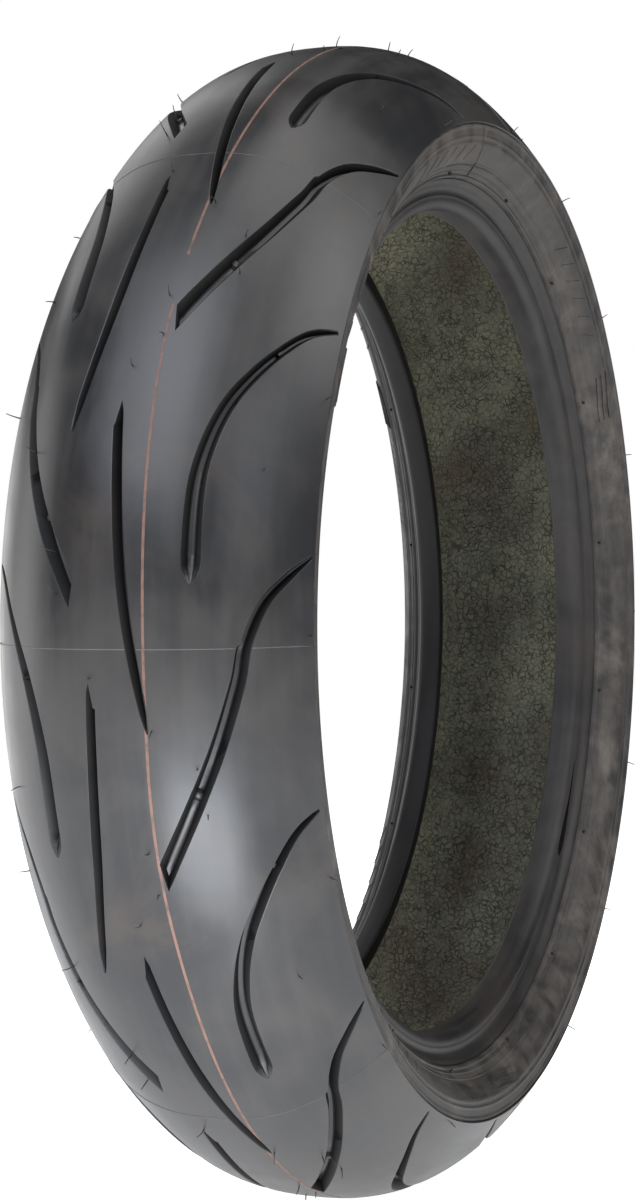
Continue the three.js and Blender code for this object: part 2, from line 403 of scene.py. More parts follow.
LONG_S = Groove(
    path=((-0.405, 17.6), (-0.294, 32.8), (-0.183, 45), (-0.068, 53.4),
          (0.006, 56.4), (0.081, 62.4), (0.132, 69.6), (0.176, 76.6)),
    stations=(
        Station(0.0, 3.8, 3.8, 5.6), Station(0.03, 4.0, 4.0, 6.2), Station(0.17, 3.7, 3.8, 6.2),
        Station(0.177, 3.7, 3.8, 4.6), Station(0.19, 3.7, 3.7, 4.6),
        Station(0.197, 3.6, 3.7, 6.2), Station(0.4, 3.4, 3.4, 6.2), Station(0.556, 3.2, 3.2, 6.2),
        Station(0.568, 2.1, 3.1, 5.8), Station(0.7, 2.3, 2.6, 5.6), Station(0.88, 1.9, 1.9, 4.4),
        Station(1.0, 0.6, 0.6, 1.2),
    ),
    slanted_start=True,
)
SHORT_C = Groove(
    path=((0.664, 76), (0.631, 68.3), (0.571, 60.3), (0.512, 53),
          (0.443, 45.4), (0.362, 39.7), (0.273, 36.7), (0.113, 36.6)),
    stations=(
        Station(0.0, 0.6, 0.6, 1.2), Station(0.1, 1.5, 1.5, 4.4), Station(0.265, 2.1, 2.1, 5.6),
        Station(0.269, 2.1, 2.1, 3.8), Station(0.287, 2.1, 2.1, 3.8),
        Station(0.291, 2.1, 2.1, 5.8), Station(0.5, 2.9, 2.9, 6.2), Station(0.8, 3.6, 3.6, 6.2),
        Station(0.95, 4.1, 4.1, 6.2), Station(0.965, 3.9, 3.9, 3.6), Station(0.98, 2.6, 2.6, 1.6),
        Station(1.0, 0.5, 0.5, 0.3),
    ),
)
SLASH_LEFT = Groove(
    path=((0.414, -1), (0.275, 2.5), (0.147, 6.1), (0.041, 9.9), (-0.045, 13.7), (-0.145, 17.9)),
    stations=(
        Station(0.0, 1.8, 1.8, 5.4), Station(0.05, 2.1, 2.1, 6.2), Station(0.45, 2.6, 2.6, 6.2),
        Station(0.8, 2.1, 2.1, 6.2), Station(0.92, 1.4, 1.4, 4.4), Station(1.0, 0.2, 0.2, 0.4),
    ),
    slanted_start=True,
)
SLASH_RIGHT = Groove(
    path=((0.923, -8.1), (0.795, -9.6), (0.657, -12.5), (0.55, -16.1), (0.384, -23.9)),
    stations=(
        Station(0.0, 1.9, 1.9, 5.4), Station(0.05, 2.1, 2.1, 6.2), Station(0.5, 2.4, 2.4, 6.2),
        Station(0.9, 1.8, 1.8, 5.4), Station(1.0, 0.4, 0.4, 0.8),
    ),
    slanted_start=True,
)


@dataclass
class GrooveTools:
    """The mould ribs that press the grooves, as one cutter for the whole pattern."""

    lip: float = 0.6  # how far the rounded lip spreads past a wall
    floor: float = 0.34  # half width of the flat floor, over the half width at the lip
    above: float = 3.0  # how far the cutter stands out of the rubber
    spacing: int = 34  # sections along a groove, besides the given ones
    corners: int = 12

    def corner(self, section: Station, number: int) -> SectionPoint:
        """One corner of the cutter's section.

        Args:
            section: The groove's section there.
            number: Which corner, from 0 at the top of the far wall, down it and up the near one.

        Returns:
            Distance towards the far wall, and height above the tread.
        """
        near_side = number >= self.corners // 2
        down = self.corners - 1 - number if near_side else number
        wall = section.near if near_side else section.far
        foot = wall * self.floor
        lip = min(self.lip, wall)
        depth = section.depth
        line = (
            (wall + lip, self.above),
            (wall + lip, 0.0),
            (wall + lip * 0.28, -min(0.22, depth * 0.2)),
            (wall, -min(0.7, depth * 0.4)),
            (foot * 1.25, -depth + min(0.5, depth * 0.3)),
            (foot * 0.8, -depth),
        )
        across, height = line[down]
        return (-across if near_side else across), height

    def cutter(self, bm: BMesh, groove: Groove, side: Side, shift: float) -> None:
        """Bends a many-sided bar along one groove.

        Args:
            bm: Where the bar is added.
            groove: The groove that it presses.
            side: The half it is on; the right one is a mirror image.
            shift: Pitches to move round by.
        """
        wanted = {round(i / self.spacing, 4) for i in range(self.spacing + 1)}
        shares = sorted(wanted | {s.share for s in groove.stations})

        def move(point: Vector) -> Vector:
            """Takes a corner of the straight bar to its place in the groove."""
            number = round(math.atan2(point.y, point.x) / math.tau * self.corners) % self.corners
            share = shares[round((point.z + 1) / 2 * (len(shares) - 1))]
            return self.bent(groove, side, shift, share, number)

        add_bent_bar(bm, self.corners, len(shares) - 2, move)

    def bent(self, groove: Groove, side: Side, shift: float, share: float, number: int) -> Vector:
        """The place of one corner of a cutter.

        Args:
            groove: The groove.
            side: The half it is on.
            shift: Pitches to move round by.
            share: How far along the groove.
            number: Which corner of the section.

        Returns:
            The place, in metres.
        """

        def on_path(at: float, lift: float = 0.0) -> Vector:
            """A place on the path, or above it."""
            pitch, y = smooth_curve(groove.path, at)
            return CROWN.place(PITCHES.angle(pitch + shift), y * side.value, lift)

        foot = on_path(share)
        normal = (on_path(share, 1.0) - foot).normalized()
        along = (on_path(min(share + 0.01, 1)) - on_path(max(share - 0.01, 0))).normalized()
        across = along.cross(normal).normalized()
        if groove.slanted_start and share < 0.12:
            round_ring = Vector((-foot.z, 0, foot.x)).normalized()
            round_ring *= math.copysign(1.0, round_ring.dot(across))
            lean = 1 - share / 0.12
            skewed = across.lerp(round_ring, lean * 0.85)
            across = skewed / max(skewed.dot(across), 0.35)
        distance, height = self.corner(groove.section(share), number)
        return foot + across * distance * MM * side.value + normal * height * MM

    def build(self) -> Object:
        """Makes the cutter for every groove of the tread.

        Returns:
            One object that holds all the bars, for cutting with and then for throwing away.
        """
        bm = bmesh.new()
        for pitch in range(PITCHES.count):
            for groove in (LONG_S, SHORT_C):
                self.cutter(bm, groove, Side.LEFT, pitch)
                self.cutter(bm, groove, Side.RIGHT, pitch + 0.5)
            for groove in (SLASH_LEFT, SLASH_RIGHT):
                self.cutter(bm, groove, Side.LEFT, pitch)
        return make_object("groove_tools", bm)


# ---- Finishes --------------------------------------------------------------------------------


def linear(colour: str) -> tuple[float, float, float, float]:
    """Turns an sRGB hex colour into the linear values that a shader takes."""
    parts = [int(colour[i : i + 2], 16) / 255 for i in (1, 3, 5)]
    red, green, blue = (p / 12.92 if p <= 0.04045 else ((p + 0.055) / 1.055) ** 2.4 for p in parts)
    return red, green, blue, 1.0


def add_node(
    tree: NodeTree,
    kind: str,
    inputs: dict[str | int, object] | None = None,
    **settings: object,
) -> Node:
    """Adds a node with its settings, values and links.

    Args:
        tree: The material's or world's nodes.
        kind: The node's type, without the ShaderNode that every one starts with.
        inputs: A value, or the output socket to link from, for each input by name or number.
        settings: The node's own properties.

    Returns:
        The node.
    """
    node = tree.nodes.new(f"ShaderNode{kind}")
    for name, value in settings.items():
        setattr(node, name, value)
    for name, value in (inputs or {}).items():
        if isinstance(value, NodeSocket):
            tree.links.new(value, node.inputs[name])
        else:
            node.inputs[name].default_value = value
    return node


@dataclass(frozen=True)
class Finish:
    """One material of the tyre or the studio."""

    name: str

    def make(self) -> Material:
        """Makes the material.

        Returns:
            The material, on Object coordinates.
        """
        material = bpy.data.materials.new(self.name)
        material.use_nodes = True
        tree = material.node_tree
        tree.nodes.clear()
        add_node(tree, "OutputMaterial", {"Surface": self.surface(tree)})
        return material

    def surface(self, tree: NodeTree) -> NodeSocket:
        """Adds the nodes of the surface, which every finish does in its own way.

        Args:
            tree: The material's nodes.

        Returns:
            The shader's output.
        """
        raise NotImplementedError


@dataclass(frozen=True)
class MouldedRubber(Finish):
    """Vulcanised rubber as it leaves a tyre mould.

    Carbon black makes it near black, the mould's fine blasted face gives a soft satin light, and
    release agent and bloom leave cloudy greyer patches and faint streaks round the tyre. The
    groove walls, and the dent that is marked the same way, get painted shade: near black, dull and
    with little shine.
    """

    deep: str
    bloom: str
    roughness: float
    rough_spread: float = 0.05
    cloud_mm: float = 55.0
    streak: float = 0.35
    streak_mm: float = 1000 / 9
    streak_squeeze: float = 14.0
    grain_mm: float = 1.1
    grain_depth_mm: float = 0.03
    wave_mm: float = 34.0
    waviness_mm: float = 0.25
    stain: str = "#3d352f"
    stain_mm: float = 90.0
    stain_most: float = 0.6
    shine: float = 0.5
    # Painted shade for the groove walls and the dent: its colour, roughness and shine.
    recess_shade_colour: str = "#0b0b0c"
    recess_shade_roughness: float = 0.85
    recess_shade_shine: float = 0.12

    def surface(self, tree: NodeTree) -> NodeSocket:
        """Lays bloom, streaks and stains on the rubber, and paints shade on the groove walls."""
        place = add_node(tree, "TexCoord").outputs["Object"]
        squeezed = add_node(
            tree, "Mapping", {"Vector": place, "Scale": (1.0, self.streak_squeeze, 1.0)}
        ).outputs[0]
        cloud, streaks, stained, grain, wavy = (
            add_node(
                tree, "TexNoise",
                {"Vector": vector, "Scale": 1000 / size, "Detail": detail, "Roughness": rough,
                 "Distortion": distortion},
            ).outputs[0]
            for vector, size, detail, rough, distortion in (
                (place, self.cloud_mm, 5.0, 0.55, 0.6),
                (squeezed, self.streak_mm, 4.0, 0.6, 0.0),
                (place, self.stain_mm, 6.0, 0.7, 1.2),
                (place, self.grain_mm, 3.0, 0.65, 0.0),
                (place, self.wave_mm, 2.0, 0.5, 0.0),
            )
        )
        both = add_node(
            tree, "Mix", {0: self.streak, 2: cloud, 3: streaks}, data_type="FLOAT"
        ).outputs[0]
        smoothest, roughest = self.roughness - self.rough_spread, self.roughness + self.rough_spread
        bloomed, stain, open_rough = (
            add_node(
                tree, "MapRange",
                {"Value": value, "From Min": low, "From Max": high,
                 "To Min": least, "To Max": most},
                interpolation_type="SMOOTHSTEP",
            ).outputs[0]
            for value, low, high, least, most in (
                (both, 0.34, 0.68, 0.0, 1.0),
                (stained, 0.5, 0.72, 0.0, self.stain_most),
                (both, 0.35, 0.65, smoothest, roughest),
            )
        )
        # This attribute marks the faces that get painted shade: the groove walls and the dent.
        wall = add_node(tree, "Attribute", attribute_name="painted_recess_shade").outputs["Fac"]
        colour = linear(self.deep)
        for share, over in ((bloomed, self.bloom), (stain, self.stain), (wall, self.recess_shade_colour)):
            colour = add_node(
                tree, "Mix", {0: share, 6: colour, 7: linear(over)}, data_type="RGBA"
            ).outputs[2]
        rough, sheen = (
            add_node(tree, "Mix", {0: wall, 2: outside, 3: inside}, data_type="FLOAT").outputs[0]
            for outside, inside in (
                (open_rough, self.recess_shade_roughness), (self.shine, self.recess_shade_shine)
            )
        )
        swell = add_node(
            tree, "Bump",
            {"Height": wavy, "Strength": 1.0, "Distance": self.waviness_mm * MM},
        ).outputs[0]
        bump = add_node(
            tree, "Bump",
            {"Height": grain, "Strength": 1.0, "Distance": self.grain_depth_mm * MM,
             "Normal": swell},
        ).outputs[0]
        return add_node(
            tree, "BsdfPrincipled",
            {"Base Color": colour, "Roughness": rough, "IOR": 1.52, "Specular IOR Level": sheen,
             "Normal": bump},
        ).outputs[0]


@dataclass(frozen=True)
class PressedLiner(Finish):
    """Butyl lining pressed by a curing bladder.

    The bladder leaves a crackle of shallow winding channels, and the silica release wash dries
    to an olive grey film. The channels are coloured darker than the islands, as painted shade.
    """

    name: str = "pressed_butyl_liner"
    island: str = "#6f6f5c"
    worn: str = "#8a8770"
    # Darker colour of the channels, painted shade, also used for the fine mottling of the film.
    channel: str = "#35352a"
    brown: str = "#605644"
    cell_mm: float = 3.7
    depth_mm: float = 0.7
    wander_mm: float = 4.2
    wander_reach_mm: float = 5.5
    patch_mm: float = 75.0
    pit_mm: float = 2.2
    pit_depth_mm: float = 0.35
    press_mm: float = 7.0
    roughness: float = 0.62

    def surface(self, tree: NodeTree) -> NodeSocket:
        """Cuts winding channels between the islands, lays the film on them, and paints shade in the
        channels.
        """
        place = add_node(tree, "TexCoord").outputs["Object"]
        wander, patch, fine, pressed = (
            add_node(
                tree, "TexNoise",
                {"Vector": place, "Scale": 1000 / size, "Detail": detail, "Roughness": rough},
            )
            for size, detail, rough in (
                (self.wander_mm, 2.0, 0.6),
                (self.patch_mm, 4.0, 0.6),
                (self.pit_mm, 3.0, 0.7),
                (self.press_mm, 2.0, 0.6),
            )
        )
        reach = self.wander_reach_mm * MM
        pushed = add_node(
            tree, "VectorMath", {0: wander.outputs[1], 1: (reach, reach, reach)},
            operation="MULTIPLY",
        ).outputs[0]
        winding = add_node(tree, "VectorMath", {0: place, 1: pushed}, operation="ADD").outputs[0]
        crackle = add_node(
            tree, "TexVoronoi",
            {"Vector": winding, "Scale": 1000 / self.cell_mm, "Randomness": 1.0},
            feature="DISTANCE_TO_EDGE",
        ).outputs["Distance"]
        shallow, greyed, rubbed, mottling = (
            add_node(
                tree, "MapRange",
                {"Value": noise.outputs[0], "From Min": low, "From Max": high,
                 "To Min": at_low, "To Max": at_high},
            ).outputs[0]
            for noise, low, high, at_low, at_high in (
                (pressed, 0.36, 0.62, 0.75, 0.15),
                (patch, 0.36, 0.52, 0.0, 1.0),
                (patch, 0.5, 0.66, 0.0, 1.0),
                (fine, 0.35, 0.6, 0.35, 0.0),
            )
        )
        raised = add_node(
            tree, "MapRange",
            {"Value": crackle, "From Min": 0.0, "From Max": 0.12, "To Min": shallow, "To Max": 1.0},
            interpolation_type="SMOOTHSTEP",
        ).outputs[0]
        film = linear(self.brown)
        for share, over in ((greyed, self.island), (rubbed, self.worn), (mottling, self.channel)):
            film = add_node(
                tree, "Mix", {0: share, 6: film, 7: linear(over)}, data_type="RGBA"
            ).outputs[2]
        # The channels are coloured darker than the islands: painted shade.
        colour = add_node(
            tree, "Mix", {0: raised, 6: linear(self.channel), 7: film},
            data_type="RGBA",
        ).outputs[2]
        bump = add_node(
            tree, "Bump",
            {"Height": raised, "Strength": 1.0, "Distance": self.depth_mm * MM},
        ).outputs[0]
        pitted = add_node(
            tree, "Bump",
            {"Height": fine.outputs[0], "Strength": 0.8, "Distance": self.pit_depth_mm * MM,
             "Normal": bump},
        ).outputs[0]
        return add_node(
            tree, "BsdfPrincipled",
            {"Base Color": colour, "Roughness": self.roughness, "IOR": 1.5, "Normal": pitted},
        ).outputs[0]


@dataclass(frozen=True)
class MarkingPaint(Finish):
    """The thin line of marking ink run onto the tread strip before it is cut.

    It is a dull pinkish orange that the mould has rubbed thin in places.
    """

    name: str = "printed_marking_ink"
    full: str = "#755648"
    thin: str = "#50403a"
    wear_mm: float = 6.0
    roughness: float = 0.6

    def surface(self, tree: NodeTree) -> NodeSocket:
        """Lays the ink thick and thin."""
        place = add_node(tree, "TexCoord").outputs["Object"]
        worn = add_node(
            tree, "TexNoise",
            {"Vector": place, "Scale": 1000 / self.wear_mm, "Detail": 4.0, "Roughness": 0.6},
        ).outputs[0]
        covered = add_node(
            tree, "MapRange", {"Value": worn, "From Min": 0.3, "From Max": 0.52}
        ).outputs[0]
        colour = add_node(
            tree, "Mix", {0: covered, 6: linear(self.thin), 7: linear(self.full)},
            data_type="RGBA",
        ).outputs[2]
        return add_node(
            tree, "BsdfPrincipled",
            {"Base Color": colour, "Roughness": self.roughness, "IOR": 1.5},
        ).outputs[0]


@dataclass(frozen=True)
class CordFabric(Finish):
    """Parallel cords calendered between thin skins of rubber, as in a ply or a belt.

    The cords show as close stripes of the fibre's own colour, with dark rubber between them.
    """

    cord: str
    rubber: str = "#26241f"
    spacing_mm: float = 1.0
    slant: float = 0.0
    depth_mm: float = 0.2
    roughness: float = 0.75

    def surface(self, tree: NodeTree) -> NodeSocket:
        """Lays the cords side by side."""
        place = add_node(tree, "TexCoord").outputs["Object"]
        turned = add_node(
            tree, "Mapping", {"Vector": place, "Rotation": (0.0, 0.0, self.slant)}
        ).outputs[0]
        # A wave of scale 1 has 20 bands in a unit of length.
        cords = add_node(
            tree, "TexWave",
            {"Vector": turned, "Scale": 1000 / self.spacing_mm / 20, "Distortion": 0.4},
            bands_direction="Y",
        ).outputs[1]
        bared = add_node(
            tree, "MapRange", {"Value": cords, "From Min": 0.25, "From Max": 0.7}
        ).outputs[0]
        colour = add_node(
            tree, "Mix", {0: bared, 6: linear(self.rubber), 7: linear(self.cord)},
            data_type="RGBA",
        ).outputs[2]
        bump = add_node(tree, "Bump", {"Height": cords, "Distance": self.depth_mm * MM}).outputs[0]
        return add_node(
            tree, "BsdfPrincipled",
            {"Base Color": colour, "Roughness": self.roughness, "IOR": 1.5, "Normal": bump},
        ).outputs[0]


@dataclass(frozen=True)
class PlatedWire(Finish):
    """Bronze-plated drawn steel wire, laid up in a square bundle.

    It shows as warm metal with fine lines along it.
    """

    name: str = "bronze_plated_bead_wire"
    colour: str = "#a98a5c"
    roughness: float = 0.32
    wire_mm: float = 1.0
    depth_mm: float = 0.3

    def surface(self, tree: NodeTree) -> NodeSocket:
        """Draws the wires as ridges of bare metal."""
        place = add_node(tree, "TexCoord").outputs["Object"]
        wires = add_node(
            tree, "TexWave",
            {"Vector": place, "Scale": 1000 / self.wire_mm / 20}, bands_direction="Y",
        ).outputs[1]
        bump = add_node(tree, "Bump", {"Height": wires, "Distance": self.depth_mm * MM}).outputs[0]
        return add_node(
            tree, "BsdfPrincipled",
            {"Base Color": linear(self.colour), "Metallic": 1.0, "Roughness": self.roughness,
             "Normal": bump},
        ).outputs[0]


@dataclass(frozen=True)
class LitAcrylic(Finish):
    """A matt white acrylic floor, lit from below: pure white to the eye, softer on the tyre."""

    name: str = "matt_white_acrylic_floor"
    base: str = "#f7f7f7"
    roughness: float = 0.9
    glow: float = 0.7
    seen_glow: float = 1.0

    def surface(self, tree: NodeTree) -> NodeSocket:
        """Mixes the light that the camera sees with the light that the tyre gets."""
        seen = add_node(tree, "LightPath").outputs["Is Camera Ray"]
        glow = add_node(
            tree, "Mix", {0: seen, 2: self.glow, 3: self.seen_glow}, data_type="FLOAT"
        ).outputs[0]
        return add_node(
            tree, "BsdfPrincipled",
            {"Base Color": linear(self.base), "Roughness": self.roughness,
             "Emission Color": linear("#ffffff"), "Emission Strength": glow},
        ).outputs[0]


TREAD_CENTRE = MouldedRubber("moulded_silica_tread_rubber", "#222223", "#383634", 0.36)
TREAD_SHOULDER = MouldedRubber("moulded_soft_shoulder_rubber", "#222223", "#383634", 0.36)
# The flash is paler than the tread: a painted highlight for the light that its thin ridges catch.
PAINTED_HIGHLIGHT_FLASH_RUBBER = MouldedRubber("mould_flash_rubber_painted_highlight", "#4a4a4a", "#5c5b5a", 0.5)
SIDEWALL_RUBBER = MouldedRubber(
    "moulded_sidewall_rubber", "#2c2a29", "#55504b", 0.58, rough_spread=0.14, cloud_mm=14,
    streak=0.45, grain_depth_mm=0.12, waviness_mm=0.5, shine=0.36, stain="#77716a",
)
BEAD_RUBBER = MouldedRubber(
    "moulded_abrasion_rubber", "#1e1d1d", "#383533", 0.5, cloud_mm=26, streak=0.55,
    grain_depth_mm=0.04, shine=0.38,
)
# The right side takes darker, less shiny copies of the same rubber: painted shade.
SHADED_SIDEWALL_RUBBER = replace(
    SIDEWALL_RUBBER, name="moulded_sidewall_rubber_painted_shade", deep="#1b1a1a", bloom="#2b2929",
    stain="#343130", shine=0.3,
)
SHADED_BEAD_RUBBER = replace(
    BEAD_RUBBER, name="moulded_abrasion_rubber_painted_shade", deep="#0f0f0f", bloom="#1c1b1b",
    stain="#1e1d1c", shine=0.2,
)
HIDDEN_RUBBER = MouldedRubber("extruded_inner_rubber", "#232324", "#2c2b2a", 0.6)
LINER = PressedLiner()
INK = MarkingPaint()
POLYESTER_PLY = CordFabric("rubberised_polyester_ply", "#a98f6d", spacing_mm=1.0)
ARAMID_BELT = CordFabric("rubberised_aramid_belt", "#b79c48", spacing_mm=1.1, slant=0.38)
BEAD_WIRE = PlatedWire()


# ---- Tread -----------------------------------------------------------------------------------


@dataclass
class TreadBand:
    """One extruded strip of tread rubber, cured into a ring, with its share of the grooves."""

    name: str
    start: float
    end: float
    node: str
    slot: str
    finish: MouldedRubber
    steps: int = 360
    spacing: float = 2.6
    gauge: float = 6.5
    piece: Object = field(init=False)

    def section(self) -> list[SectionPoint]:
        """The strip's section: the crown line, and a line a gauge below it."""
        count = round((self.end - self.start) / self.spacing)
        line = [self.start + (self.end - self.start) * i / count for i in range(count + 1)]
        top = [(y, CROWN.height(y)) for y in line]
        under = []
        for y in line[:: -max(count // 8, 1)]:
            across, out = CROWN.outward(y)
            under.append((y - across * self.gauge, CROWN.height(y) - out * self.gauge))
        return top + under

    def build(self, tools: Object) -> None:
        """Turns the strip into a ring and presses the grooves into it.

        Args:
            tools: The cutter for the whole pattern.
        """
        self.piece = ring_of(self.name, self.section(), self.steps)
        carve(self.piece, tools)
        smooth_crown(self.piece)

    def dress(self) -> None:
        """Gives the strip its rubber and fixes it to the tyre."""
        fit_piece(self.piece, self.finish.make(), self.slot, self.node)


def ramp(value: float, start: float, width: float) -> float:
    """How far a value is up a ramp that begins at start, from 0 to 1."""
    return min(max((value - start) / width, 0.0), 1.0)


def smooth_crown(piece: Object) -> None:
    """Shades the rolling surface as the true curve up to the lips, and marks the groove walls for
    painted shade.
    """
    on_surface = 0.035  # millimetres off the crown that still count as the crown
    wall_from, wall_over = 0.12, 0.3  # a mark starts at this steepness, and is full this much on
    deep_from, deep_over = 0.2, 1.2  # the same for depth, in millimetres
    mesh = piece.data
    for face in mesh.polygons:
        face.use_smooth = True
    sharpen(piece, 42)
    shade = mesh.attributes.new("painted_recess_shade", "FLOAT", "CORNER")
    normals = []
    for face in mesh.polygons:
        steepness = 1 - abs(face.normal.dot(CROWN.normal(face.center)))
        for index in face.loop_indices:
            point = mesh.vertices[mesh.loops[index].vertex_index].co
            height = math.hypot(point.x, point.z) / MM - CROWN.height(point.y / MM)
            true = CROWN.normal(point)
            on_top = abs(height) < on_surface and face.normal.dot(true) > 0.5
            normals.append(true if on_top else Vector((0, 0, 0)))
            # Painted shade: full on steep faces, growing with depth below the crown.
            wall = ramp(steepness, wall_from, wall_over)
            shade.data[index].value = wall * ramp(-height, deep_from, deep_over)
    mesh.normals_split_custom_set(normals)


@dataclass
class PaintedLine:
    """The marking line that wanders round the left of the crown.

    It has a gap at the tread's splice. Its places are in degrees up from the front.
    """

    width: float = 1.25
    proud: float = 0.05
    sunk: float = 0.2
    steps: int = 340
    splice_from: float = 27.4
    splice_to: float = 32.5
    easing: float = 6.0
    wander: tuple[SectionPoint, ...] = (
        (-180, 16.4), (-140, 17.4), (-100, 16.2), (-60, 17.0), (-45, 17.3), (-30, 17.4),
        (-19, 15.6), (-12, 16.9), (-4, 18.0), (8, 16.4), (20, 14.6), (28, 14.6), (36, 16.2),
        (46, 17.3), (61, 17.9), (90, 16.6), (130, 17.6), (180, 16.4),
    )
    piece: Object = field(init=False)

    def middle(self, degrees: float) -> float:
        """Where the line's middle is across, eased over the turn on either side."""
        steps = (-1, -0.5, 0, 0.5, 1)
        turns = [(degrees + self.easing * step + 180) % 360 - 180 for step in steps]
        return sum(between(self.wander, turn) for turn in turns) / len(turns)

    def build(self, tools: Object) -> None:
        """Lays the line on the crown, except where the tread is spliced and grooved.

        Args:
            tools: The cutter for the whole pattern.
        """
        bm = bmesh.new()
        half, top, under = self.width / 2, 1.0, 0.5
        draw_outline(bm, [(-half, top), (0, top), (half, top), (half, under), (-half, under)])
        sweep = 360 - (self.splice_to - self.splice_from)
        bmesh.ops.spin(
            bm, geom=bm.verts[:] + bm.edges[:], cent=(0, 0, 0), axis=(0, 1, 0),
            angle=math.radians(sweep), steps=self.steps, use_merge=False,
        )
        bmesh.ops.holes_fill(bm, edges=[e for e in bm.edges if e.is_boundary])
        bmesh.ops.remove_doubles(bm, verts=bm.verts, dist=WELD)
        for vert in bm.verts:
            degrees = self.splice_from - math.degrees(math.atan2(vert.co.x, vert.co.z)) % 360
            degrees = (degrees + 180) % 360 - 180
            on_top = math.hypot(vert.co.x, vert.co.z) > (top + under) / 2 * MM
            lift = self.proud if on_top else -self.sunk
            y = vert.co.y / MM + self.middle(degrees)
            vert.co = CROWN.place(math.radians(degrees), y, lift)
        self.piece = make_object("painted_line", bm)
        carve(self.piece, tools)
        sharpen(self.piece, 40)

    def dress(self) -> None:
        """Gives the line its ink and fixes it to the tyre."""
        fit_piece(self.piece, INK.make(), "tread_centre_rubber")


@dataclass
class MouldFlash:
    """The hair-thin ridges that rubber leaves in the joints between the mould's segments."""

    width: float = 0.5
    height: float = 0.2
    reach: float = 76.8
    cuts: int = 48
    piece: Object = field(init=False)

    def build(self, tools: Object) -> None:
        """Lays a ridge across the tread at every pitch.

        Args:
            tools: The cutter for the whole pattern.
        """
        bm = bmesh.new()
        for pitch in range(PITCHES.count):
            turn = PITCHES.angle(pitch)

            def move(point: Vector, turn: float = turn) -> Vector:
                """Takes a corner of the straight bar to its place on the tread."""
                sway = point.y * self.width / 2 / CROWN.radius
                return CROWN.place(turn + sway, point.z * self.reach, point.x * self.height)

            add_bent_bar(bm, 4, self.cuts, move)
        self.piece = make_object("mould_flash", bm)
        carve(self.piece, tools)

    def dress(self) -> None:
        """Gives the flash its paler rubber, a painted highlight, and fixes it to the tyre."""
        fit_piece(self.piece, PAINTED_HIGHLIGHT_FLASH_RUBBER.make(), "tread_shoulder_rubber")


# ---- Sidewalls and beads ---------------------------------------------------------------------


@dataclass(frozen=True)
class RaisedBar:
    """One straight bar of a wall's relief, in millimetres.

    Its top is a distance down the wall, and its slant is how many degrees round the tyre the
    lower end is off the upper one.
    """

    top: float
    length: float
    width: float
    height: float
    slant: float


